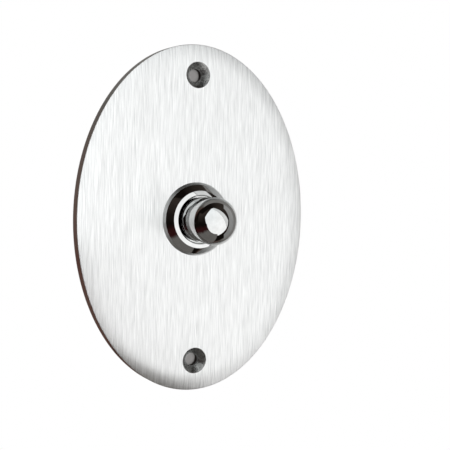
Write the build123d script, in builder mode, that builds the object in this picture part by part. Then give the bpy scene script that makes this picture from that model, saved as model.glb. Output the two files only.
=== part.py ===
from build123d import *
import math
import os

# An oval wall bell push. The wall is the plane Y = 0, the face looks along -Y and +Z is up.
# Every level below is a height in front of the wall, so a level behind the wall is negative.

# Oval face plate, hollow at the back
plate_width = 60.0
plate_height = 84.0
plate_depth = 3.5
face_wall = 2.0
rim_width = 2.2
hollow_corner_radius = 0.8
edge_roll_width = 4.5
edge_roll_drop = 1.0
edge_break = 0.25

# Countersunk fixing holes on the long axis
fixing_spacing = 69.4
fixing_hole_diameter = 3.2
countersink_diameter = 6.2
countersink_angle = 90.0

# Domed push button
button_diameter = 11.2
neck_diameter = 10.6
button_reach = 14.4
dome_radius = 6.0
dome_blend_radius = 0.5
button_travel = 2.5
stop_width = 0.7
stop_thickness = 1.4

# Turned collar with its threaded barrel
guide_clearance = 0.08
guide_length = 3.25
mouth_chamfer = 0.3
land_width = 0.95
land_drop = 0.31
shoulder_width = 1.47
skirt_width = 0.5
skirt_height = 0.95
skirt_round = 0.8
collar_height = 2.65
stop_clearance = 0.1
barrel_wall = 1.6
barrel_length = 16.0
barrel_chamfer = 0.5
barrel_hole_clearance = 0.15

# Nut and internal-tooth washer behind the plate
thread_depth = 0.6
thread_clearance = 0.03
nut_across_flats = 19.0
nut_sides = 6
nut_thickness = 3.0
nut_corner_angle = 30.0
washer_thickness = 0.7
washer_ring_width = 1.1
washer_tooth_length = 0.8
washer_tooth_width = 1.6
washer_tooth_count = 14
washer_bore_clearance = 0.1

# Return spring
spring_diameter = 4.0
spring_wire = 0.45
spring_turns = 8
spring_clearance = 0.15
spring_seat_depth = 0.8

# Moulded plunger in the back of the button
press_clearance = 0.02
plunger_spigot_diameter = 6.0
plunger_spigot_length = 4.4
spigot_end_gap = 0.2
plunger_flange_inset = 0.7
plunger_flange_thickness = 1.4
plunger_body_wall = 1.4
plunger_tail_wall = 0.5
plunger_bore_roof = 0.6
bridge_lip_width = 0.35
bridge_lip_height = 0.4

# Contact bridge
bridge_thickness = 0.5
bridge_clearance = 0.6
bridge_bore_clearance = 0.05

# Moulded base that closes the barrel
base_spigot_length = 4.5
base_flange_thickness = 4.0
base_flange_clearance = 0.1
barrier_thickness = 1.4
barrier_height = 2.4
base_edge_radius = 0.4

# Terminals, their screws and clamp washers
contact_diameter = 2.2
contact_height = 0.8
contact_inset = 0.3
insert_diameter = 3.8
insert_length = 3.6
screw_diameter = 2.5
screw_hole_depth = 3.2
screw_end_gap = 0.3
screw_clearance = 0.04
screw_head_diameter = 4.4
screw_head_height = 1.6
screw_head_round = 0.5
screw_slot_width = 0.6
screw_slot_depth = 0.8
clamp_side = 4.4
clamp_thickness = 0.5
clamp_corner_radius = 0.5

# Radii that follow from the sizes above
button_radius = button_diameter / 2
neck_radius = neck_diameter / 2
guide_radius = button_radius + guide_clearance
mouth_radius = guide_radius + mouth_chamfer
land_radius = mouth_radius + land_width
shoulder_radius = land_radius + shoulder_width
flange_radius = shoulder_radius + skirt_width
stop_radius = button_radius + stop_width
cavity_radius = stop_radius + stop_clearance
barrel_radius = cavity_radius + barrel_wall
barrel_hole_radius = barrel_radius + barrel_hole_clearance
spring_radius = spring_diameter / 2
bore_radius = spring_radius + spring_clearance
tail_radius = bore_radius + plunger_tail_wall
lip_radius = tail_radius + bridge_lip_width
plunger_body_radius = bore_radius + plunger_body_wall
plunger_flange_radius = stop_radius - plunger_flange_inset
spigot_radius = plunger_spigot_diameter / 2
bridge_radius = cavity_radius - bridge_clearance
base_flange_radius = barrel_radius - thread_depth - base_flange_clearance
contact_radius = contact_diameter / 2
terminal_offset = bridge_radius - contact_inset - contact_radius
insert_radius = insert_diameter / 2
screw_radius = screw_diameter / 2

# Levels that follow from the sizes above
plate_inside_level = plate_depth - face_wall
collar_level = plate_depth + collar_height
skirt_level = plate_depth + skirt_height
stop_level = collar_level - guide_length
barrel_end_level = plate_depth - barrel_length
nut_front_level = plate_inside_level - washer_thickness
button_back_level = stop_level - stop_thickness
button_tip_level = plate_depth + button_reach
dome_centre_level = button_tip_level - dome_radius
base_floor_level = barrel_end_level + base_spigot_length
base_back_level = barrel_end_level - base_flange_thickness
contact_level = base_floor_level + contact_height
bridge_back_level = contact_level + button_travel
bridge_front_level = bridge_back_level + bridge_thickness
plunger_end_level = bridge_back_level - bridge_lip_height
spring_front_level = button_back_level - plunger_bore_roof
spring_back_level = base_floor_level - spring_seat_depth

# Sketch planes: flat ones at a level, and the section through the button's axis,
# whose first direction is the radius and whose second is the level
section = Plane(origin=(0, 0, 0), x_dir=(1, 0, 0), z_dir=(0, 0, -1))
edge_section = Plane(origin=(plate_width / 2, -plate_depth, 0), x_dir=(1, 0, 0), z_dir=(0, 0, -1))

# How near to a level an edge lies to count as being at it
level_tolerance = 0.001


def level_plane(level):
    """The plane parallel to the wall at this height in front of it, facing the front."""
    return Plane.XZ.offset(level)


def edges_at_level(builder, level):
    """The edges of a part that lie flat at this height in front of the wall."""
    return builder.edges().filter_by_position(Axis.Y, -level - level_tolerance, -level + level_tolerance)


os.makedirs("parts", exist_ok=True)

# Face plate: an oval slab, its front edge rolled off, its back hollowed out
edge_roll_radius = (edge_roll_width**2 + edge_roll_drop**2) / (2 * edge_roll_drop)
edge_roll_angle = math.degrees(math.asin(edge_roll_width / edge_roll_radius))
cutter_margin = 1.0
with BuildPart() as face_plate:
    with BuildSketch(Plane.XZ):
        Ellipse(plate_width / 2, plate_height / 2)
    extrude(amount=plate_depth)
    face_outline = face_plate.faces().sort_by(Axis.Y)[0].outer_wire()
    with BuildSketch(edge_section):
        with BuildLine():
            CenterArc((-edge_roll_width, -edge_roll_radius), edge_roll_radius, 90, -edge_roll_angle)
            Polyline(
                (0, -edge_roll_drop),
                (cutter_margin, -edge_roll_drop),
                (cutter_margin, cutter_margin),
                (-edge_roll_width, cutter_margin),
                (-edge_roll_width, 0),
            )
        make_face()
    sweep(path=face_outline, mode=Mode.SUBTRACT)
    fillet(edges_at_level(face_plate, plate_depth - edge_roll_drop), edge_break)
    with BuildSketch(Plane.XZ):
        Ellipse(plate_width / 2 - rim_width, plate_height / 2 - rim_width)
    extrude(amount=plate_inside_level, mode=Mode.SUBTRACT)
    fillet(edges_at_level(face_plate, plate_inside_level), hollow_corner_radius)
    with BuildSketch(Plane.XZ):
        Circle(barrel_hole_radius)
    extrude(amount=plate_depth, mode=Mode.SUBTRACT)
    with Locations(level_plane(plate_depth)):
        with GridLocations(0, fixing_spacing, 1, 2):
            CounterSinkHole(
                fixing_hole_diameter / 2,
                countersink_diameter / 2,
                depth=plate_depth,
                counter_sink_angle=countersink_angle,
            )
face_plate.part.label = "face_plate"
export_step(face_plate.part, "parts/face_plate.step")

# Collar: land, shoulder and steep skirt, each a cone, in front of the plate, and a threaded barrel behind it
with BuildPart() as button_collar:
    with BuildSketch(section) as collar_profile:
        with BuildLine():
            Polyline(
                (flange_radius, plate_depth),
                (barrel_radius, plate_depth),
                (barrel_radius, barrel_end_level + barrel_chamfer),
                (barrel_radius - barrel_chamfer, barrel_end_level),
                (cavity_radius, barrel_end_level),
                (cavity_radius, stop_level),
                (guide_radius, stop_level),
                (guide_radius, collar_level - mouth_chamfer),
                (mouth_radius, collar_level),
                (land_radius, collar_level - land_drop),
                (shoulder_radius, skirt_level),
                close=True,
            )
        make_face()
        skirt_top = collar_profile.vertices().sort_by_distance((shoulder_radius, skirt_level, 0))[0]
        fillet(skirt_top, skirt_round)
    revolve(axis=Axis.Y)
button_collar.part.label = "button_collar"
export_step(button_collar.part, "parts/button_collar.step")

# Internal-tooth washer between the plate and the nut
washer_bore_radius = barrel_radius + washer_bore_clearance
washer_root_radius = washer_bore_radius + washer_tooth_length
washer_radius = washer_root_radius + washer_ring_width
tooth_overlap = washer_ring_width / 2
with BuildPart() as lock_washer:
    with BuildSketch(level_plane(nut_front_level)):
        Circle(washer_radius)
        Circle(washer_root_radius, mode=Mode.SUBTRACT)
        with PolarLocations(washer_root_radius + tooth_overlap, washer_tooth_count):
            Rectangle(
                washer_tooth_length + tooth_overlap,
                washer_tooth_width,
                align=(Align.MAX, Align.CENTER),
            )
        Circle(washer_bore_radius, mode=Mode.SUBTRACT)
    extrude(amount=washer_thickness)
lock_washer.part.label = "lock_washer"
export_step(lock_washer.part, "parts/lock_washer.step")

# Thin hexagon nut, its corners turned off on both faces
nut_corner_radius = nut_across_flats / 2 / math.cos(math.pi / nut_sides)
nut_corner_drop = (nut_corner_radius - nut_across_flats / 2) * math.tan(math.radians(nut_corner_angle))
with BuildPart() as barrel_nut:
    with BuildSketch(level_plane(nut_front_level)):
        RegularPolygon(nut_across_flats / 2, nut_sides, major_radius=False)
        Circle(barrel_radius + thread_clearance, mode=Mode.SUBTRACT)
    extrude(amount=-nut_thickness)
    with BuildSketch(section):
        with BuildLine():
            Polyline(
                (0, nut_front_level),
                (nut_across_flats / 2, nut_front_level),
                (nut_corner_radius, nut_front_level - nut_corner_drop),
                (nut_corner_radius, nut_front_level - nut_thickness + nut_corner_drop),
                (nut_across_flats / 2, nut_front_level - nut_thickness),
                (0, nut_front_level - nut_thickness),
                close=True,
            )
        make_face()
    revolve(axis=Axis.Y, mode=Mode.INTERSECT)
barrel_nut.part.label = "barrel_nut"
export_step(barrel_nut.part, "parts/barrel_nut.step")

# Push button: dome, side that narrows to a neck, a stop shoulder behind the collar, a recess for the plunger
dome_edge_angle = math.degrees(math.acos(button_radius / dome_radius))
dome_edge_level = dome_centre_level + math.sqrt(dome_radius**2 - button_radius**2)
recess_end_level = button_back_level + plunger_spigot_length + spigot_end_gap
with BuildPart() as push_button:
    with BuildSketch(section) as button_profile:
        with BuildLine():
            CenterArc((0, dome_centre_level), dome_radius, 90, dome_edge_angle - 90)
            Polyline(
                (button_radius, dome_edge_level),
                (neck_radius, stop_level),
                (stop_radius, stop_level),
                (stop_radius, button_back_level),
                (spigot_radius, button_back_level),
                (spigot_radius, recess_end_level),
                (0, recess_end_level),
                (0, button_tip_level),
            )
        make_face()
        dome_edge = button_profile.vertices().sort_by_distance((button_radius, dome_edge_level, 0))[0]
        fillet(dome_edge, dome_blend_radius)
    revolve(axis=Axis.Y)
push_button.part.label = "push_button"
export_step(push_button.part, "parts/push_button.step")

# Plunger: spigot pressed into the button, flange, body, and a tail with a snap lip for the bridge
with BuildPart() as plunger:
    with BuildSketch(section):
        with BuildLine():
            Polyline(
                (0, button_back_level + plunger_spigot_length),
                (spigot_radius - press_clearance, button_back_level + plunger_spigot_length),
                (spigot_radius - press_clearance, button_back_level),
                (plunger_flange_radius, button_back_level),
                (plunger_flange_radius, button_back_level - plunger_flange_thickness),
                (plunger_body_radius, button_back_level - plunger_flange_thickness),
                (plunger_body_radius, bridge_front_level),
                (tail_radius, bridge_front_level),
                (tail_radius, bridge_back_level),
                (lip_radius, bridge_back_level),
                (tail_radius, plunger_end_level),
                (bore_radius, plunger_end_level),
                (bore_radius, spring_front_level),
                (0, spring_front_level),
                close=True,
            )
        make_face()
    revolve(axis=Axis.Y)
plunger.part.label = "plunger"
export_step(plunger.part, "parts/plunger.step")

# Contact bridge: a flat brass ring held between the plunger's body and its lip
with BuildPart() as contact_bridge:
    with BuildSketch(level_plane(bridge_back_level)):
        Circle(bridge_radius)
        Circle(tail_radius + bridge_bore_clearance, mode=Mode.SUBTRACT)
    extrude(amount=bridge_thickness)
contact_bridge.part.label = "contact_bridge"
export_step(contact_bridge.part, "parts/contact_bridge.step")

# Return spring: a coil whose two ends are ground flat on their seats
spring_length = spring_front_level - spring_back_level
spring_pitch = spring_length / spring_turns
coil_radius = spring_radius - spring_wire / 2
with BuildPart() as return_spring:
    with BuildLine() as coil:
        Helix(spring_pitch, spring_length, coil_radius, center=(0, -spring_front_level, 0), direction=(0, 1, 0))
    with BuildSketch(Plane(origin=coil.line @ 0, z_dir=coil.line % 0)):
        Circle(spring_wire / 2)
    sweep(path=coil.line, is_frenet=True)
    split(bisect_by=level_plane(spring_front_level), keep=Keep.BOTTOM)
    split(bisect_by=level_plane(spring_back_level), keep=Keep.TOP)
return_spring.part.label = "return_spring"
export_step(return_spring.part, "parts/return_spring.step")

# Base: a spigot in the barrel, a flange behind it, and a barrier between the two terminals
terminal_places = ((-terminal_offset, 0), (terminal_offset, 0))
with BuildPart() as contact_base:
    with BuildSketch(level_plane(barrel_end_level)):
        Circle(base_flange_radius)
    extrude(amount=-base_flange_thickness)
    fillet(contact_base.faces().sort_by(Axis.Y)[-1].edges(), base_edge_radius)
    with BuildSketch(level_plane(barrel_end_level)):
        Circle(cavity_radius - thread_clearance)
    extrude(amount=base_spigot_length)
    with BuildSketch(level_plane(base_back_level)):
        Circle(base_flange_radius - base_edge_radius)
        Rectangle(barrier_thickness, 2 * base_flange_radius, mode=Mode.INTERSECT)
    extrude(amount=-barrier_height)
    with BuildSketch(level_plane(base_floor_level)):
        Circle(bore_radius)
    extrude(amount=-spring_seat_depth, mode=Mode.SUBTRACT)
    with BuildSketch(level_plane(base_floor_level)):
        with Locations(*terminal_places):
            Circle(contact_radius + press_clearance)
    extrude(amount=-(base_floor_level - base_back_level), mode=Mode.SUBTRACT)
    with BuildSketch(level_plane(base_back_level)):
        with Locations(*terminal_places):
            Circle(insert_radius + press_clearance)
    extrude(amount=insert_length, mode=Mode.SUBTRACT)
contact_base.part.label = "contact_base"
export_step(contact_base.part, "parts/contact_base.step")

# Terminals: a contact pin in front, a tapped insert behind
for terminal_name, terminal_place in zip(("left_terminal", "right_terminal"), terminal_places):
    with BuildPart() as terminal:
        with BuildSketch(level_plane(contact_level)):
            with Locations(terminal_place):
                Circle(contact_radius)
        extrude(amount=-(contact_level - base_back_level))
        with BuildSketch(level_plane(base_back_level)):
            with Locations(terminal_place):
                Circle(insert_radius)
        extrude(amount=insert_length)
        with BuildSketch(level_plane(base_back_level)):
            with Locations(terminal_place):
                Circle(screw_radius)
        extrude(amount=screw_hole_depth, mode=Mode.SUBTRACT)
    terminal.part.label = terminal_name
    export_step(terminal.part, f"parts/{terminal_name}.step")

# Square clamp washers on the terminals
clamp_back_level = base_back_level - clamp_thickness
with BuildPart() as clamp_washers:
    with BuildSketch(level_plane(base_back_level)):
        with Locations(*terminal_places):
            RectangleRounded(clamp_side, clamp_side, clamp_corner_radius)
            Circle(screw_radius + screw_clearance, mode=Mode.SUBTRACT)
    extrude(amount=-clamp_thickness)
clamp_washers.part.label = "clamp_washers"
export_step(clamp_washers.part, "parts/clamp_washers.step")

# Slotted terminal screws
screw_end_level = base_back_level + screw_hole_depth - screw_end_gap
screw_back_level = clamp_back_level - screw_head_height
with BuildPart() as terminal_screws:
    with BuildSketch(level_plane(clamp_back_level)):
        with Locations(*terminal_places):
            Circle(screw_head_diameter / 2)
    extrude(amount=-screw_head_height)
    fillet(terminal_screws.faces().sort_by(Axis.Y)[-2:].edges(), screw_head_round)
    with BuildSketch(level_plane(screw_back_level)):
        with Locations(*terminal_places):
            Rectangle(screw_head_diameter, screw_slot_width)
    extrude(amount=screw_slot_depth, mode=Mode.SUBTRACT)
    with BuildSketch(level_plane(clamp_back_level)):
        with Locations(*terminal_places):
            Circle(screw_radius - screw_clearance)
    extrude(amount=screw_end_level - clamp_back_level)
terminal_screws.part.label = "terminal_screws"
export_step(terminal_screws.part, "parts/terminal_screws.step")
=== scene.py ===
import math

import bmesh
import bpy
from mathutils import Matrix, Vector


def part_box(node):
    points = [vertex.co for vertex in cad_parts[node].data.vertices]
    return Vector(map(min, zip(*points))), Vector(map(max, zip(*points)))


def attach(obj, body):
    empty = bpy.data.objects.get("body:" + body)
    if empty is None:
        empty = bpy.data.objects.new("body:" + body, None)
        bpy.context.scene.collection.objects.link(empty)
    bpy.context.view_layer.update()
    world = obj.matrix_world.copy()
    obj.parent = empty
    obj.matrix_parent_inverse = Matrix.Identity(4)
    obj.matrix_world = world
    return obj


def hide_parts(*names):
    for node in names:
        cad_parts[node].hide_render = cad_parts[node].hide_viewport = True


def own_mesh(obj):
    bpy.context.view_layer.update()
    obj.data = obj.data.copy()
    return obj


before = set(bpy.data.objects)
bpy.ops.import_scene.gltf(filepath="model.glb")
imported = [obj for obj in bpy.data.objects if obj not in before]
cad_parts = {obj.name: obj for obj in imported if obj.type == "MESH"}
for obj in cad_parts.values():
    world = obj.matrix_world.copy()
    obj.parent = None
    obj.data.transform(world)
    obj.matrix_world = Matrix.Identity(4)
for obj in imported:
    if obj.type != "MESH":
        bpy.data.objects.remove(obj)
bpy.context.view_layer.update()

# An oval wall bell push. The wall is the plane Y = 0, the face looks along -Y and +Z is up.
# A level is a height in front of the wall, so it is -Y. Lengths are in metres.
MM = 0.001

# Sizes that the frame's boxes give
plate_low, plate_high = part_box("face_plate")
collar_low, collar_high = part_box("button_collar")
button_low, button_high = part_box("push_button")
spring_low, spring_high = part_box("return_spring")
HALF_WIDTH = plate_high.x
HALF_HEIGHT = plate_high.z
PLATE_DEPTH = -plate_low.y
FLANGE_RADIUS = collar_high.z
COLLAR_LEVEL = -collar_low.y
BARREL_END_LEVEL = -collar_high.y
STOP_RADIUS = button_high.z
BUTTON_TIP_LEVEL = -button_low.y
BUTTON_BACK_LEVEL = -button_high.y
SPRING_RADIUS = spring_high.z
SPRING_FRONT_LEVEL = -spring_low.y
SPRING_BACK_LEVEL = -spring_high.y
SPRING_LENGTH = SPRING_FRONT_LEVEL - SPRING_BACK_LEVEL

# Sizes that the part's source has, for the pieces that are modelled again here
EDGE_BREAK = 0.25 * MM
RIM_WIDTH = 2.2 * MM
INSIDE_LEVEL = 1.5 * MM
HOLLOW_CORNER_RADIUS = 0.8 * MM
FIXING_OFFSET = 34.7 * MM
FIXING_HOLE_RADIUS = 1.6 * MM
COUNTERSINK_RADIUS = 3.1 * MM
BARREL_HOLE_RADIUS = 8.15 * MM
BUTTON_RADIUS = 5.6 * MM
DOME_RADIUS = 6.0 * MM
DOME_BLEND_RADIUS = 0.5 * MM
RECESS_RADIUS = 3.0 * MM
RECESS_DEPTH = 4.6 * MM
GUIDE_RADIUS = 5.68 * MM
GUIDE_LENGTH = 3.25 * MM
MOUTH_CHAMFER = 0.3 * MM
LAND_WIDTH = 0.95 * MM
LAND_DROP = 0.31 * MM
SKIRT_WIDTH = 0.5 * MM
SKIRT_HEIGHT = 0.95 * MM
SKIRT_ROUND = 0.8 * MM
NECK_RADIUS = 5.3 * MM
CAVITY_RADIUS = 6.4 * MM
BARREL_RADIUS = 8.0 * MM
BARREL_CHAMFER = 0.5 * MM
SPRING_WIRE_RADIUS = 0.225 * MM
SPRING_TURNS = 8

# The level that stops the button's shoulder
STOP_LEVEL = COLLAR_LEVEL - GUIDE_LENGTH

# The plate's front edge as the photograph shows it, up to 0.5 mm flatter than the solid's
EDGE_ROLL_WIDTH = 4.5 * MM
EDGE_ROLL_DROP = 0.54 * MM

# Edges that are too fine for the solids, and the lines that end the flats beside them
EDGE_ROUND = EDGE_BREAK * 0.6
SHARP_EDGE_ROUND = 0.06 * MM
BACK_EDGE_ROUND = 0.1 * MM
RIM_LINE_INSET = BACK_EDGE_ROUND * 3
HOLLOW_LINE_INSET = HOLLOW_CORNER_RADIUS * 1.5

# The barrel's thread. Crest and flank are shares of half a pitch, and what is inside the limit isn't cut
THREAD_PITCH = 1.0 * MM
THREAD_DEPTH = 0.55 * MM
THREAD_START_LEVEL = 1.0 * MM
THREAD_CREST = 0.12
THREAD_FLANK = 0.76
THREAD_INNER_LIMIT = CAVITY_RADIUS * 1.1

# How finely the meshes are cut
PLATE_SEGMENTS = 288
LATHE_SEGMENTS = 160
FLOOR_SEGMENTS = 96
ROUND_STEPS = 6
ROLL_STEPS = 16
DOME_STEPS = 40
DOME_BLEND_STEPS = 3
THREAD_STEPS = 14
WIRE_SEGMENTS = 14
COIL_STEPS = 48
SHARP_ANGLE = math.radians(24)
ON_AXIS = 1e-9

# A face is a side while its normal has no more than this along Y
SIDE_NORMAL_LIMIT = 0.3

# A small turn that keeps the screw cutters' points off the plate's own lines
CUTTER_TURN = 0.7 * math.pi / LATHE_SEGMENTS

# How the finishes use noise: its usual range, and the narrower one between a metal's two colours
NOISE_LOW, NOISE_HIGH = 0.3, 0.7
COLOUR_LOW, COLOUR_HIGH = 0.35, 0.65
BROAD_SHARE = 0.15
BROAD_GRAIN = 3
METAL_RELIEF = 0.02 * MM
MOULDING_RELIEF = 0.03 * MM
MOULDING_SKIN = 0.12 * MM
MOULDING_CLOUD = 2.5 * MM
BRUSH_MAP = "brush"

# The photograph's camera, found from the plate's outline and holes in its frame of 450 by 450 pixels
PHOTO_PIXELS = 450
VIEW_AZIMUTH = -27.0
VIEW_ELEVATION = 3.5
VIEW_ROLL = 0.9
VIEW_DEPTH = 237.0 * MM
PIXELS_PER_METRE = 4067.0
ORIGIN_PIXEL = (190.3, 218.2)
SENSOR_WIDTH = 36.0
CLIP_START = VIEW_DEPTH / 20
CLIP_END = 20

# Studio: a pale floor far below and plain soft light. A lamp has a place and a power
FLOOR_LEVEL = -1.3
FLOOR_RADIUS = 3.7
FLOOR_GRAIN = 0.3
FLOOR_ROUGHNESS = 0.9
FLOOR_LIFT = 0.45
WORLD_LIGHT = 0.7
LAMP_SIZE = 0.5
LAMPS = {
    "key_lamp": ((-0.5, -1.0, 1.1), 9.0),
    "rear_lamp": ((0.6, 1.0, 0.9), 7.0),
}

# The dark room with one window that the photograph's chrome shows.
# A corner of the window is how far it lies aside and above for each metre in front.
ROOM_DEPTH = 0.6
ROOM_LEFT = -2.0
ROOM_RIGHT = 1.0
ROOM_HALF_HEIGHT = 1.25
FRONT_HALF_SPAN = 1.2
WINDOW_GAP = 0.01
WINDOW_PANE = [(-0.50, 1.92), (-1.48, 0.55), (-0.62, -1.56), (0.52, -1.84), (1.18, -0.72)]
WINDOW_STRIP = [(-0.49, 1.93), (1.19, -0.71), (1.30, 0.10), (-0.20, 1.98)]
WINDOW_LIGHT = 1.6
STRIP_LIGHT = 1.1
WINDOW_HALF_SPAN = 1.0
CARD_UNEVENNESS = 0.2
CARD_CLOUDS = 6
LEDGE_GAP = 15 * MM
LEDGE_DEPTH = 54 * MM
LEDGE_ANGLES = (190, 282)

# The wall around the plate, and the bit of it that shows through the screw holes, with a painted spot of
# light behind each hole and painted shadow around it
WALL_GAP = 0.05 * MM
WALL_REACH = 2.0
WALL_LIGHT_RADIUS = 1.78 * MM
WALL_GRAIN = 0.5 * MM
WALL_UNEVENNESS = 0.1
PATCH_INSET = RIM_WIDTH / 2
PATCH_HOLE_RADIUS = 2 * BARREL_RADIUS


def smooth(mesh):
    """Shades a mesh smooth apart from its sharp edges."""
    mesh.polygons.foreach_set("use_smooth", [True] * len(mesh.polygons))
    mesh.set_sharp_from_angle(angle=SHARP_ANGLE)
    mesh.update()


def to_object(name, bm, materials):
    """The object made from a bmesh, in the scene."""
    mesh = bpy.data.meshes.new(name)
    bm.to_mesh(mesh)
    bm.free()
    smooth(mesh)
    made = bpy.data.objects.new(name, mesh)
    bpy.context.scene.collection.objects.link(made)
    for material in materials:
        mesh.materials.append(material)
    return made


def finished(name, bm, materials):
    """The object made from a bmesh, with all its faces turned the same way."""
    bmesh.ops.recalc_face_normals(bm, faces=bm.faces)
    return to_object(name, bm, materials)


def rounded(corners, closed):
    """The outline through corners (x, y, radius), each turned on its own radius."""
    points = []
    count = len(corners)
    for i, (x, y, radius) in enumerate(corners):
        corner = Vector((x, y))
        is_end = not closed and i in (0, count - 1)
        if radius == 0 or is_end:
            points.append(corner)
            continue
        before = (Vector(corners[i - 1][:2]) - corner).normalized()
        after = (Vector(corners[(i + 1) % count][:2]) - corner).normalized()
        half = before.angle(after) / 2
        middle = corner + (before + after).normalized() * radius / math.sin(half)
        start = corner + before * radius / math.tan(half) - middle
        end = corner + after * radius / math.tan(half) - middle
        turn = math.atan2(start.x * end.y - start.y * end.x, start.dot(end))
        for k in range(ROUND_STEPS + 1):
            a = turn * k / ROUND_STEPS
            spoke = Vector((
                start.x * math.cos(a) - start.y * math.sin(a),
                start.x * math.sin(a) + start.y * math.cos(a),
            ))
            points.append(middle + spoke)
    return points


def bridge_rings(bm, rings, closed):
    """Faces between each ring of vertices and the next. A ring of one vertex is a point on the axis."""
    pairs = list(zip(rings, rings[1:]))
    if closed:
        pairs.append((rings[-1], rings[0]))
    for first, second in pairs:
        count = max(len(first), len(second))
        for i in range(count):
            corners = [first[i % len(first)], first[(i + 1) % len(first)]]
            corners += [second[(i + 1) % len(second)], second[i % len(second)]]
            unique = list(dict.fromkeys(corners))
            if len(unique) > 2:
                bm.faces.new(unique)


def turned(outline, closed, cut=None):
    """A bmesh turned about the button's axis from points (radius, level).
    cut(radius, level, turn) gives the radius that a thread leaves at that place."""
    bm = bmesh.new()
    rings = []
    for radius, level in outline:
        if radius < ON_AXIS:
            rings.append([bm.verts.new((0, -level, 0))])
            continue
        ring = []
        for i in range(LATHE_SEGMENTS):
            angle = 2 * math.pi * i / LATHE_SEGMENTS
            kept = cut(radius, level, i / LATHE_SEGMENTS) if cut else radius
            ring.append(bm.verts.new((kept * math.cos(angle), -level, kept * math.sin(angle))))
        rings.append(ring)
    bridge_rings(bm, rings, closed)
    return bm


def oval(half_width, half_height, inset, level):
    """Points of the line that runs inside an ellipse at this distance from it."""
    points = []
    for i in range(PLATE_SEGMENTS):
        angle = 2 * math.pi * i / PLATE_SEGMENTS
        c, s = math.cos(angle), math.sin(angle)
        out = Vector((c / half_width, s / half_height)).normalized()
        points.append((half_width * c - inset * out.x, -level, half_height * s - inset * out.y))
    return points


def filled_loops(loops):
    """A bmesh of the flat face between two loops of points, or within one."""
    bm = bmesh.new()
    edges = []
    for points in loops:
        loop = [bm.verts.new(p) for p in points]
        edges += [bm.edges.new((a, b)) for a, b in zip(loop, loop[1:] + loop[:1])]
    bmesh.ops.triangle_fill(bm, use_beauty=True, edges=edges)
    return bm


def node_adder(tree):
    """A short way to add a node to a tree, with its settings and with values or links for its inputs."""

    def add(kind, inputs=None, **settings):
        made = tree.nodes.new(kind)
        for key, value in settings.items():
            setattr(made, key, value)
        for key, value in (inputs or {}).items():
            if isinstance(value, bpy.types.NodeSocket):
                tree.links.new(value, made.inputs[key])
            else:
                made.inputs[key].default_value = value
        return made

    return add


def node_material(name):
    """A new material, its nodes, its shader and a short way to add to them."""
    material = bpy.data.materials.new(name)
    material.use_nodes = True
    tree = material.node_tree
    return material, tree, tree.nodes["Principled BSDF"], node_adder(tree)


def stretched_noise(add, sizes, detail=3.0):
    """Noise whose grains have these sizes along X, Y and Z, in the object's own frame."""
    place = add("ShaderNodeTexCoord").outputs["Object"]
    scale = tuple(1 / size for size in sizes)
    scaled = add("ShaderNodeMapping", {"Vector": place, "Scale": scale}).outputs["Vector"]
    return add("ShaderNodeTexNoise", {"Vector": scaled, "Scale": 1.0, "Detail": detail}).outputs["Fac"]


def ramp(add, factor, stops):
    """Colours along a factor, from stops of (place, colour)."""
    made = add("ShaderNodeValToRGB", {"Fac": factor})
    while len(made.color_ramp.elements) < len(stops):
        made.color_ramp.elements.new(0.5)
    for element, (place, colour) in zip(made.color_ramp.elements, stops):
        element.position = place
        element.color = (*colour, 1.0)
    return made.outputs["Color"]


def between(add, noise, low, high):
    """Noise spread over the values from low to high."""
    inputs = {"Value": noise, "From Min": NOISE_LOW, "From Max": NOISE_HIGH, "To Min": low, "To Max": high}
    return add("ShaderNodeMapRange", inputs).outputs["Result"]


def metal(name, dark, light, grain, roughness, bump, anisotropy=0.0, brush_map=None):
    """A metal whose colour, roughness and height follow the same grain."""
    material, tree, shader, add = node_material(name)
    shader.inputs["Metallic"].default_value = 1.0
    fine = stretched_noise(add, grain)
    broad = stretched_noise(add, [size * BROAD_GRAIN for size in grain], detail=2.0)
    inputs = {"Factor": BROAD_SHARE, "A": fine, "B": broad}
    both = add("ShaderNodeMix", inputs).outputs["Result"]
    colours = [(COLOUR_LOW, dark), (COLOUR_HIGH, light)]
    tree.links.new(ramp(add, both, colours), shader.inputs["Base Color"])
    tree.links.new(between(add, fine, *roughness), shader.inputs["Roughness"])
    inputs = {"Height": fine, "Strength": bump, "Distance": METAL_RELIEF}
    tree.links.new(add("ShaderNodeBump", inputs).outputs["Normal"], shader.inputs["Normal"])
    if brush_map:
        shader.inputs["Anisotropic"].default_value = anisotropy
        tangent = add("ShaderNodeTangent", direction_type="UV_MAP", uv_map=brush_map)
        tree.links.new(tangent.outputs["Tangent"], shader.inputs["Tangent"])
    return material


def moulding(name, dark, light, roughness, bump):
    """Moulded insulation: a fine matt skin over clouds of two shades."""
    material, tree, shader, add = node_material(name)
    skin = stretched_noise(add, [MOULDING_SKIN] * 3, detail=4.0)
    cloud = stretched_noise(add, [MOULDING_CLOUD] * 3)
    colours = [(NOISE_LOW, dark), (NOISE_HIGH, light)]
    tree.links.new(ramp(add, cloud, colours), shader.inputs["Base Color"])
    tree.links.new(between(add, skin, *roughness), shader.inputs["Roughness"])
    inputs = {"Height": skin, "Strength": bump, "Distance": MOULDING_RELIEF}
    tree.links.new(add("ShaderNodeBump", inputs).outputs["Normal"], shader.inputs["Normal"])
    return material
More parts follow.
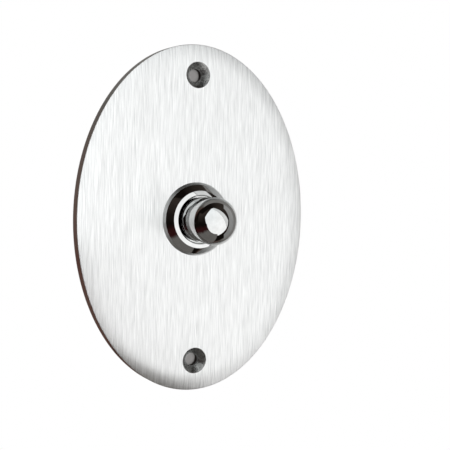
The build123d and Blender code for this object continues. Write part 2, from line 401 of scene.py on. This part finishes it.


# Finishes of the plate: brushed face, polished side, plain back, turned countersinks darkened with painted
# shade, and bores painted near black as shade
satin_chrome = metal(
    "satin_chrome",
    dark=(0.54, 0.545, 0.543),
    light=(0.965, 0.97, 0.965),
    grain=(0.05 * MM, 2 * MM, 5 * MM),
    roughness=(0.36, 0.44),
    bump=0.12,
    anisotropy=0.85,
    brush_map=BRUSH_MAP,
)
plate_edge = metal(
    "plate_edge",
    dark=(0.80, 0.80, 0.80),
    light=(0.90, 0.90, 0.89),
    grain=(3 * MM, 0.15 * MM, 3 * MM),
    roughness=(0.10, 0.20),
    bump=0.06,
)
# Countersink: a turned grain, darkened far below the plate's metal as painted shade in the recess
countersink = metal(
    "countersink",
    dark=(0.07, 0.07, 0.068),
    light=(0.40, 0.40, 0.39),
    grain=(0.25 * MM, 0.12 * MM, 0.25 * MM),
    roughness=(0.2, 0.35),
    bump=0.3,
)
# Bore: painted near black as the shade inside each screw hole
bore_painted_shade = metal(
    "bore_painted_shade",
    dark=(0.02, 0.02, 0.02),
    light=(0.05, 0.05, 0.048),
    grain=(0.5 * MM, 0.12 * MM, 0.5 * MM),
    roughness=(0.4, 0.6),
    bump=0.25,
)
plate_back = metal(
    "plate_back",
    dark=(0.52, 0.51, 0.48),
    light=(0.68, 0.67, 0.64),
    grain=(0.6 * MM, 0.6 * MM, 0.6 * MM),
    roughness=(0.38, 0.55),
    bump=0.3,
)
PLATE_FINISHES = [satin_chrome, plate_edge, plate_back, countersink, bore_painted_shade]

# Finishes of the other pieces
polished_chrome = metal(
    "polished_chrome",
    dark=(0.53, 0.535, 0.53),
    light=(0.59, 0.595, 0.59),
    grain=(1.5 * MM, 1.5 * MM, 1.5 * MM),
    roughness=(0.02, 0.05),
    bump=0.0,
)
dull_nickel = metal(
    "dull_nickel",
    dark=(0.56, 0.54, 0.49),
    light=(0.74, 0.72, 0.66),
    grain=(0.5 * MM, 0.15 * MM, 0.5 * MM),
    roughness=(0.28, 0.45),
    bump=0.2,
)
contact_brass = metal(
    "contact_brass",
    dark=(0.66, 0.47, 0.20),
    light=(0.86, 0.67, 0.34),
    grain=(0.35 * MM, 0.15 * MM, 0.35 * MM),
    roughness=(0.2, 0.38),
    bump=0.15,
)
spring_steel = metal(
    "spring_steel",
    dark=(0.46, 0.46, 0.47),
    light=(0.64, 0.64, 0.65),
    grain=(0.3 * MM, 0.3 * MM, 0.3 * MM),
    roughness=(0.2, 0.35),
    bump=0.1,
)
black_moulding = moulding(
    "black_moulding",
    dark=(0.014, 0.014, 0.015),
    light=(0.032, 0.031, 0.031),
    roughness=(0.42, 0.62),
    bump=0.25,
)


def plate_finish(face):
    """Satin in front, polished around the outside, and plain behind and in the barrel hole."""
    if face.normal.y < -SIDE_NORMAL_LIMIT:
        return satin_chrome
    is_side = abs(face.normal.y) <= SIDE_NORMAL_LIMIT
    if is_side and face.normal.dot(face.calc_center_median()) > 0:
        return plate_edge
    return plate_back


def plate_body():
    """The plate without its screw holes: rolled front edge, side, rim, hollow back and barrel hole."""
    roll_radius = (EDGE_ROLL_WIDTH**2 + EDGE_ROLL_DROP**2) / (2 * EDGE_ROLL_DROP)
    outer = [(EDGE_ROLL_WIDTH + EDGE_BREAK, PLATE_DEPTH, 0)]
    for k in range(ROLL_STEPS):
        inset = EDGE_ROLL_WIDTH * (1 - k / ROLL_STEPS)
        across = EDGE_ROLL_WIDTH - inset
        drop = roll_radius - math.sqrt(roll_radius**2 - across**2)
        outer.append((inset, PLATE_DEPTH - drop, 0))
    outer.append((0, PLATE_DEPTH - EDGE_ROLL_DROP, EDGE_ROUND))
    outer.append((0, 0, BACK_EDGE_ROUND))
    outer.append((RIM_LINE_INSET, 0, 0))
    inner = [
        (-RIM_LINE_INSET, 0, 0),
        (0, 0, BACK_EDGE_ROUND),
        (0, INSIDE_LEVEL, HOLLOW_CORNER_RADIUS),
        (HOLLOW_LINE_INSET, INSIDE_LEVEL, 0),
    ]
    outer_rings = [oval(HALF_WIDTH, HALF_HEIGHT, *p) for p in rounded(outer, False)]
    inner_rings = [oval(HALF_WIDTH - RIM_WIDTH, HALF_HEIGHT - RIM_WIDTH, *p) for p in rounded(inner, False)]
    front_hole, back_hole = (
        oval(BARREL_HOLE_RADIUS, BARREL_HOLE_RADIUS, 0, level) for level in (PLATE_DEPTH, INSIDE_LEVEL)
    )
    all_rings = [front_hole] + outer_rings + inner_rings + [back_hole]
    bm = bmesh.new()
    rings = [[bm.verts.new(p) for p in ring] for ring in all_rings]
    bridge_rings(bm, rings, True)
    bmesh.ops.recalc_face_normals(bm, faces=bm.faces)
    for face in bm.faces:
        face.material_index = PLATE_FINISHES.index(plate_finish(face))
    return bm


def screw_cutter(offset):
    """The shape that a countersink leaves, with its mouth lightly broken."""
    cone_level = PLATE_DEPTH - (COUNTERSINK_RADIUS - FIXING_HOLE_RADIUS)
    corners = [
        (0, -PLATE_DEPTH),
        (FIXING_HOLE_RADIUS, -PLATE_DEPTH),
        (FIXING_HOLE_RADIUS, cone_level),
        (COUNTERSINK_RADIUS - SHARP_EDGE_ROUND, PLATE_DEPTH - SHARP_EDGE_ROUND),
        (COUNTERSINK_RADIUS + SHARP_EDGE_ROUND, PLATE_DEPTH),
        (COUNTERSINK_RADIUS + SHARP_EDGE_ROUND * 2, PLATE_DEPTH + SHARP_EDGE_ROUND),
        (0, PLATE_DEPTH + SHARP_EDGE_ROUND),
    ]
    bm = turned(corners, False)
    bmesh.ops.rotate(bm, verts=bm.verts, cent=(0, 0, 0), matrix=Matrix.Rotation(CUTTER_TURN, 3, "Y"))
    bmesh.ops.translate(bm, verts=bm.verts, vec=(0, 0, offset))
    return finished("screw_cutter", bm, PLATE_FINISHES)


def cut_out(obj, cutters):
    """Takes the cutters' shapes out of the plate's mesh. Straight bores get near-black painted shade, cones
    a turned finish darkened with painted shade.
    """
    for cutter in cutters:
        for face in cutter.data.polygons:
            is_straight = abs(face.normal.y) < SIDE_NORMAL_LIMIT
            face.material_index = PLATE_FINISHES.index(bore_painted_shade if is_straight else countersink)
        boolean = obj.modifiers.new("cut", "BOOLEAN")
        boolean.operation = "DIFFERENCE"
        boolean.solver = "EXACT"
        boolean.object = cutter
    shown = obj.evaluated_get(bpy.context.evaluated_depsgraph_get())
    obj.data = bpy.data.meshes.new_from_object(shown)
    obj.modifiers.clear()
    for cutter in cutters:
        bpy.data.objects.remove(cutter)


def close_bores(mesh):
    """Puts back the single faces of a straight bore that the cut leaves out."""
    bm = bmesh.new()
    bm.from_mesh(mesh)
    open_edges = [edge for edge in bm.edges if edge.is_boundary]
    # The refilled bore faces get the near-black painted shade too
    for face in bmesh.ops.holes_fill(bm, edges=open_edges, sides=4)["faces"]:
        face.material_index = PLATE_FINISHES.index(bore_painted_shade)
    bmesh.ops.recalc_face_normals(bm, faces=bm.faces)
    bm.to_mesh(mesh)
    bm.free()


def lay_brush_map(mesh):
    """A map whose first direction runs across the brushing, for the shader's tangent."""
    layer = mesh.uv_layers.new(name=BRUSH_MAP)
    for loop in mesh.loops:
        place = mesh.vertices[loop.vertex_index].co
        layer.data[loop.index].uv = (place.x / HALF_HEIGHT, place.z / HALF_HEIGHT)


plate = finished("oval_plate", plate_body(), PLATE_FINISHES)
cut_out(plate, [screw_cutter(FIXING_OFFSET), screw_cutter(-FIXING_OFFSET)])
close_bores(plate.data)
smooth(plate.data)
lay_brush_map(plate.data)
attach(plate, "plate")
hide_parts("face_plate")


def thread_radius(radius, level, turn):
    """The radius that a single right-hand thread leaves of the barrel's outside."""
    if level > THREAD_START_LEVEL or radius <= THREAD_INNER_LIMIT:
        return radius
    phase = (level / THREAD_PITCH - turn) % 1.0
    wave = abs(2 * phase - 1)
    flank = min(1.0, max(0.0, (wave - THREAD_CREST) / THREAD_FLANK))
    return min(radius, BARREL_RADIUS - THREAD_DEPTH * flank)


def collar_outline():
    """The collar's section: mouth, land, shoulder, skirt, threaded barrel, cavity and guide bore."""
    mouth_radius = GUIDE_RADIUS + MOUTH_CHAMFER
    land_radius = mouth_radius + LAND_WIDTH
    corners = [
        (GUIDE_RADIUS, STOP_LEVEL, 0),
        (GUIDE_RADIUS, COLLAR_LEVEL - MOUTH_CHAMFER, SHARP_EDGE_ROUND),
        (mouth_radius, COLLAR_LEVEL, SHARP_EDGE_ROUND),
        (land_radius, COLLAR_LEVEL - LAND_DROP, SHARP_EDGE_ROUND),
        (FLANGE_RADIUS - SKIRT_WIDTH, PLATE_DEPTH + SKIRT_HEIGHT, SKIRT_ROUND),
        (FLANGE_RADIUS, PLATE_DEPTH, 0),
        (BARREL_RADIUS, PLATE_DEPTH, 0),
    ]
    rows = math.ceil((PLATE_DEPTH - BARREL_END_LEVEL - BARREL_CHAMFER) / THREAD_PITCH * THREAD_STEPS)
    for k in range(1, rows + 1):
        level = PLATE_DEPTH + (BARREL_END_LEVEL + BARREL_CHAMFER - PLATE_DEPTH) * k / rows
        corners.append((BARREL_RADIUS, level, 0))
    corners += [
        (BARREL_RADIUS - BARREL_CHAMFER, BARREL_END_LEVEL, 0),
        (CAVITY_RADIUS, BARREL_END_LEVEL, BACK_EDGE_ROUND),
        (CAVITY_RADIUS, STOP_LEVEL, 0),
    ]
    return rounded(corners, True)


collar = finished("turned_collar", turned(collar_outline(), True, thread_radius), [polished_chrome])
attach(collar, "plate")
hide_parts("button_collar")


def button_outline():
    """The button's section: recess, stop shoulder, side that widens from the neck, and dome."""
    dome_centre = BUTTON_TIP_LEVEL - DOME_RADIUS
    edge_angle = math.acos(BUTTON_RADIUS / DOME_RADIUS)
    recess_level = BUTTON_BACK_LEVEL + RECESS_DEPTH
    corners = [
        (0, recess_level, 0),
        (RECESS_RADIUS, recess_level, 0),
        (RECESS_RADIUS, BUTTON_BACK_LEVEL, SHARP_EDGE_ROUND),
        (STOP_RADIUS, BUTTON_BACK_LEVEL, BACK_EDGE_ROUND),
        (STOP_RADIUS, STOP_LEVEL, BACK_EDGE_ROUND),
        (NECK_RADIUS, STOP_LEVEL, 0),
        (BUTTON_RADIUS, dome_centre + DOME_RADIUS * math.sin(edge_angle), DOME_BLEND_RADIUS),
    ]
    for k in range(DOME_BLEND_STEPS, DOME_STEPS):
        angle = edge_angle + (math.pi / 2 - edge_angle) * k / DOME_STEPS
        corners.append((DOME_RADIUS * math.cos(angle), dome_centre + DOME_RADIUS * math.sin(angle), 0))
    corners.append((0, BUTTON_TIP_LEVEL, 0))
    return rounded(corners, False)


button = finished("domed_button", turned(button_outline(), False), [polished_chrome])
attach(button, "button")
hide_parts("push_button")


def coil_mesh():
    """The spring's wire along its helix, its two ends ground flat."""
    bm = bmesh.new()
    coil_radius = SPRING_RADIUS - SPRING_WIRE_RADIUS
    rings = []
    for k in range(SPRING_TURNS * COIL_STEPS + 1):
        share = k / (SPRING_TURNS * COIL_STEPS)
        angle = 2 * math.pi * SPRING_TURNS * share
        out = Vector((math.cos(angle), 0, math.sin(angle)))
        middle = out * coil_radius + Vector((0, -(SPRING_FRONT_LEVEL - SPRING_LENGTH * share), 0))
        ring = []
        for i in range(WIRE_SEGMENTS):
            round_wire = 2 * math.pi * i / WIRE_SEGMENTS
            offset = out * math.cos(round_wire) + Vector((0, math.sin(round_wire), 0))
            place = middle + offset * SPRING_WIRE_RADIUS
            place.y = min(max(place.y, -SPRING_FRONT_LEVEL), -SPRING_BACK_LEVEL)
            ring.append(bm.verts.new(place))
        rings.append(ring)
    bridge_rings(bm, rings, False)
    bm.faces.new(rings[0])
    bm.faces.new(rings[-1])
    return bm


spring = finished("coil_spring", coil_mesh(), [spring_steel])
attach(spring, "plate")
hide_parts("return_spring")
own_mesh(spring)

# Finishes of the nodes that stay as the frame has them
NODE_FINISHES = {
    "lock_washer": dull_nickel,
    "barrel_nut": dull_nickel,
    "plunger": black_moulding,
    "contact_base": black_moulding,
    "contact_bridge": contact_brass,
    "left_terminal": contact_brass,
    "right_terminal": contact_brass,
    "terminal_screws": contact_brass,
    "clamp_washers": contact_brass,
}
for node_name, finish in NODE_FINISHES.items():
    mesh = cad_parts[node_name].data
    mesh.materials.clear()
    mesh.materials.append(finish)


def photo_camera():
    """The photograph's camera, from its own right, up and back directions and its place."""
    azimuth, elevation, roll = (math.radians(a) for a in (VIEW_AZIMUTH, VIEW_ELEVATION, VIEW_ROLL))
    back = Vector((
        math.sin(azimuth) * math.cos(elevation),
        -math.cos(azimuth) * math.cos(elevation),
        math.sin(elevation),
    ))
    level_right = Vector((math.cos(azimuth), math.sin(azimuth), 0))
    level_up = back.cross(level_right)
    right = level_right * math.cos(roll) + level_up * math.sin(roll)
    up = level_up * math.cos(roll) - level_right * math.sin(roll)
    origin_right = (ORIGIN_PIXEL[0] - PHOTO_PIXELS / 2) / PIXELS_PER_METRE
    origin_up = (PHOTO_PIXELS / 2 - ORIGIN_PIXEL[1]) / PIXELS_PER_METRE
    data = bpy.data.cameras.new("photo_camera")
    data.sensor_width = SENSOR_WIDTH
    data.lens = PIXELS_PER_METRE * VIEW_DEPTH / PHOTO_PIXELS * SENSOR_WIDTH
    data.clip_start = CLIP_START
    data.clip_end = CLIP_END
    camera = bpy.data.objects.new("photo_camera", data)
    bpy.context.scene.collection.objects.link(camera)
    place = back * VIEW_DEPTH - right * origin_right - up * origin_up
    turn = Matrix((right, up, back)).transposed().to_4x4()
    camera.matrix_world = Matrix.Translation(place) @ turn
    return camera


bpy.context.scene.camera = photo_camera()

# Colours of the stage. A list of them has stops, from 0 to 1 along a direction or over a noise
BLACK = (0.008, 0.006, 0.005)
BROWN = (0.045, 0.036, 0.031)
RED = (0.040, 0.010, 0.010)
PALE = (0.19, 0.18, 0.17)
WHITE = (1.0, 1.0, 1.0)
FLOOR_COLOURS = [(NOISE_LOW, (0.84, 0.84, 0.84)), (NOISE_HIGH, (0.88, 0.88, 0.88))]
FRONT_COLOURS = [(0.22, BLACK), (0.32, RED), (0.42, BLACK), (0.8, BROWN)]
WINDOW_COLOURS = [(0.2, (0.90, 0.93, 0.94)), (0.6, WHITE)]
LEFT_COLOURS = [(0.4, BLACK), (0.8, BROWN)]
RIGHT_COLOURS = [(0.3, (0.34, 0.337, 0.334)), (0.7, (0.46, 0.456, 0.452))]
CEILING_COLOURS = [(0.4, BLACK), (0.7, BROWN)]
TABLE_COLOURS = [(0.3, BROWN), (0.6, BLACK)]
LEDGE_COLOURS = [(0.3, BLACK), (0.45, RED), (0.55, RED), (0.65, PALE)]
WALL_COLOURS = [
    (0.12, BLACK),
    (0.18, (0.09, 0.045, 0.036)),
    (0.27, (0.11, 0.075, 0.063)),
    (0.45, (0.12, 0.11, 0.10)),
    (0.7, (0.28, 0.27, 0.26)),
]
# Painted light on the wall patch: pale inside the spot behind each screw hole, falling to black painted
# shadow beyond it
LIT_WALL_COLOURS = [(0.3, (0.27, 0.26, 0.255)), (0.45, (0.20, 0.195, 0.19)), (0.52, BLACK)]


def seen_directly(add):
    """1 for what the camera sees, also in metal and through glass, and 0 for light on surfaces."""
    path = add("ShaderNodeLightPath")
    seen = path.outputs["Is Camera Ray"]
    for name in ("Is Glossy Ray", "Is Transmission Ray"):
        seen = add("ShaderNodeMath", {0: seen, 1: path.outputs[name]}, operation="MAXIMUM").outputs["Value"]
    return seen


def floor_material():
    """A pale floor that takes shadows and shows white where nothing shades it."""
    material, tree, shader, add = node_material("pale_floor")
    grain = stretched_noise(add, [FLOOR_GRAIN] * 3)
    tree.links.new(ramp(add, grain, FLOOR_COLOURS), shader.inputs["Base Color"])
    shader.inputs["Roughness"].default_value = FLOOR_ROUGHNESS
    shader.inputs["Emission Color"].default_value = (*WHITE, 1)
    lift = add("ShaderNodeMath", {0: seen_directly(add), 1: FLOOR_LIFT}, operation="MULTIPLY")
    tree.links.new(lift.outputs["Value"], shader.inputs["Emission Strength"])
    return material


def floor_mesh():
    """A flat disc far below the object."""
    bm = bmesh.new()
    bmesh.ops.create_circle(bm, cap_ends=True, segments=FLOOR_SEGMENTS, radius=FLOOR_RADIUS)
    bmesh.ops.translate(bm, verts=bm.verts, vec=(0, 0, FLOOR_LEVEL))
    return bm


finished("floor", floor_mesh(), [floor_material()])


def show_only(tree, surface):
    """Puts this in place of a material's own shader."""
    tree.links.new(surface, tree.nodes["Material Output"].inputs["Surface"])


def card_material(name, colours, direction, low, high, strength=1.0):
    """A card that shows its own colours in the metal, which change along a direction from low to high."""
    material, tree, _, add = node_material(name)
    place = add("ShaderNodeTexCoord").outputs["Object"]
    inputs = {0: place, 1: Vector(direction).normalized()}
    along = add("ShaderNodeVectorMath", inputs, operation="DOT_PRODUCT").outputs["Value"]
    inputs = {"Value": along, "From Min": low, "From Max": high}
    share = add("ShaderNodeMapRange", inputs).outputs["Result"]
    cloud = stretched_noise(add, [(high - low) / CARD_CLOUDS] * 3, detail=2.0)
    uneven = add("ShaderNodeMix", {"Factor": CARD_UNEVENNESS, "A": share, "B": cloud}).outputs["Result"]
    inputs = {"Color": ramp(add, uneven, colours), "Strength": strength}
    show_only(tree, add("ShaderNodeEmission", inputs).outputs["Emission"])
    return material


def show_in_metal(made):
    """Hides an object from the camera, diffuse light and shadows, so that it is seen only in the metal's
    reflections.
    """
    made.visible_camera = False
    made.visible_diffuse = False
    made.visible_shadow = False


def reflected_card(name, loops, material):
    """A flat card between two loops of points, or within one, that only the metal's reflections show."""
    show_in_metal(finished(name, filled_loops(loops), [material]))


def room_corner(side, height, level):
    """A corner of the room, left or right, above or below, at a level in front of the wall."""
    return (ROOM_RIGHT if side > 0 else ROOM_LEFT, -level, height * ROOM_HALF_HEIGHT)


def window_points(slopes):
    """The window's corners, just before the room's front."""
    return [(x * ROOM_DEPTH, WINDOW_GAP - ROOM_DEPTH, z * ROOM_DEPTH) for x, z in slopes]


# Directions in which a card's colours change
UPWARDS = (0, 0, 1)
DOWNWARDS = (0, 0, -1)
RIGHTWARDS = (1, 0, 0)
DOWN_AND_RIGHT = (1, 0, -1)
UP_AND_RIGHT = (1, 0, 0.6)

# The room's front, with its window in two parts
CORNER_SIGNS = ((-1, -1), (1, -1), (1, 1), (-1, 1))
room_front = [room_corner(*signs, ROOM_DEPTH) for signs in CORNER_SIGNS]
front_dark = card_material("front_dark", FRONT_COLOURS, UPWARDS, -FRONT_HALF_SPAN, FRONT_HALF_SPAN)
reflected_card("room_front", [room_front], front_dark)
WINDOW_PARTS = {
    "window_pane": (WINDOW_PANE, WINDOW_LIGHT),
    "window_strip": (WINDOW_STRIP, STRIP_LIGHT),
}
for part_name, (slopes, light) in WINDOW_PARTS.items():
    reach = (-WINDOW_HALF_SPAN, WINDOW_HALF_SPAN)
    pale = card_material(part_name, WINDOW_COLOURS, DOWN_AND_RIGHT, *reach, light)
    reflected_card(part_name, [window_points(slopes)], pale)

# The room's other sides: two corners of each at the wall, its colours and their direction
ROOM_SIDES = {
    "room_left": ((-1, -1), (-1, 1), LEFT_COLOURS, UPWARDS),
    "room_right": ((1, -1), (1, 1), RIGHT_COLOURS, UPWARDS),
    "room_ceiling": ((-1, 1), (1, 1), CEILING_COLOURS, RIGHTWARDS),
    "room_table": ((-1, -1), (1, -1), TABLE_COLOURS, RIGHTWARDS),
}
for side_name, (first, second, colours, direction) in ROOM_SIDES.items():
    corners = [room_corner(*first, 0), room_corner(*second, 0)]
    corners += [room_corner(*second, ROOM_DEPTH), room_corner(*first, ROOM_DEPTH)]
    side_card = card_material(side_name, colours, direction, -ROOM_HALF_HEIGHT, ROOM_HALF_HEIGHT)
    reflected_card(side_name, [corners], side_card)


def ledge_mesh():
    """A ledge close below the plate at its left, which darkens the lower edge and the foot of the dome."""
    bm = bmesh.new()
    first, last = (round(PLATE_SEGMENTS * angle / 360) for angle in LEDGE_ANGLES)
    rows = []
    for level in (0, LEDGE_DEPTH):
        ring = oval(HALF_WIDTH, HALF_HEIGHT, -LEDGE_GAP, level)
        rows.append([bm.verts.new(p) for p in ring[first:last]])
    near, far = rows
    for i in range(len(near) - 1):
        bm.faces.new((near[i], near[i + 1], far[i + 1], far[i]))
    return bm


ledge_dark = card_material("ledge_dark", LEDGE_COLOURS, DOWNWARDS, 0, HALF_HEIGHT + LEDGE_GAP)
show_in_metal(finished("room_ledge", ledge_mesh(), [ledge_dark]))

# The wall around the plate as the plate's side and the button show it: dark at lower left, grey at right
wall_edge = oval(HALF_WIDTH, HALF_HEIGHT, 0, -WALL_GAP)
wall_reach = [(x * WALL_REACH, WALL_GAP, z * WALL_REACH) for x, z in CORNER_SIGNS]
wall_dark = card_material("wall_dark", WALL_COLOURS, UP_AND_RIGHT, -HALF_HEIGHT, HALF_HEIGHT)
reflected_card("wall_card", [wall_edge, wall_reach], wall_dark)


def wall_material():
    """The wall behind the plate, with a painted spot of light in line with each screw hole and painted
    shadow around it, clear from behind.
    """
    material, tree, _, add = node_material("shaded_wall")
    place = add("ShaderNodeSeparateXYZ", {"Vector": add("ShaderNodeTexCoord").outputs["Object"]})
    height = add("ShaderNodeMath", {0: place.outputs["Z"]}, operation="ABSOLUTE").outputs["Value"]
    above = add("ShaderNodeMath", {0: height, 1: FIXING_OFFSET}, operation="SUBTRACT").outputs["Value"]
    aside = add("ShaderNodeCombineXYZ", {"X": place.outputs["X"], "Z": above}).outputs["Vector"]
    distance = add("ShaderNodeVectorMath", {0: aside}, operation="LENGTH").outputs["Value"]
    inputs = {"Value": distance, "From Max": 2 * WALL_LIGHT_RADIUS}
    share = add("ShaderNodeMapRange", inputs).outputs["Result"]
    grain = stretched_noise(add, [WALL_GRAIN] * 3)
    uneven = add("ShaderNodeMix", {"Factor": WALL_UNEVENNESS, "A": share, "B": grain}).outputs["Result"]
    # An emission paints the spot of light and the shadow; no lamp lights them
    glow = add("ShaderNodeEmission", {"Color": ramp(add, uneven, LIT_WALL_COLOURS)}).outputs["Emission"]
    clear = add("ShaderNodeBsdfTransparent").outputs["BSDF"]
    behind = add("ShaderNodeNewGeometry").outputs["Backfacing"]
    show_only(tree, add("ShaderNodeMixShader", {0: behind, 1: glow, 2: clear}).outputs["Shader"])
    return material


def wall_patch():
    """The bit of wall behind the plate, which faces the camera through the two screw holes."""
    edge = oval(HALF_WIDTH, HALF_HEIGHT, PATCH_INSET, -WALL_GAP)
    hole = oval(PATCH_HOLE_RADIUS, PATCH_HOLE_RADIUS, 0, -WALL_GAP)
    bm = filled_loops([edge, hole])
    for face in bm.faces:
        if face.normal.y > 0:
            face.normal_flip()
    made = to_object("wall_patch", bm, [wall_material()])
    made.visible_diffuse = False
    made.visible_glossy = False
    made.visible_shadow = False


wall_patch()


def studio_world():
    """Even light on the object, and white for what the camera and the metal see."""
    world = bpy.data.worlds.new("studio")
    bpy.context.scene.world = world
    world.use_nodes = True
    tree = world.node_tree
    add = node_adder(tree)
    background = tree.nodes["Background"]
    background.inputs["Color"].default_value = (*WHITE, 1)
    inputs = {"Value": seen_directly(add), "To Min": WORLD_LIGHT, "To Max": 1.0}
    strength = add("ShaderNodeMapRange", inputs).outputs["Result"]
    tree.links.new(strength, background.inputs["Strength"])


studio_world()


def soft_lamp(name, place, power):
    """A square soft lamp that points at the object."""
    data = bpy.data.lights.new(name, "AREA")
    data.shape = "SQUARE"
    data.size = LAMP_SIZE
    data.energy = power
    lamp = bpy.data.objects.new(name, data)
    bpy.context.scene.collection.objects.link(lamp)
    lamp.location = place
    lamp.rotation_euler = (-Vector(place)).to_track_quat("-Z", "Y").to_euler()
    lamp.visible_glossy = False


for lamp_name, (lamp_place, lamp_power) in LAMPS.items():
    soft_lamp(lamp_name, lamp_place, lamp_power)

bpy.context.scene.view_settings.view_transform = "Standard"
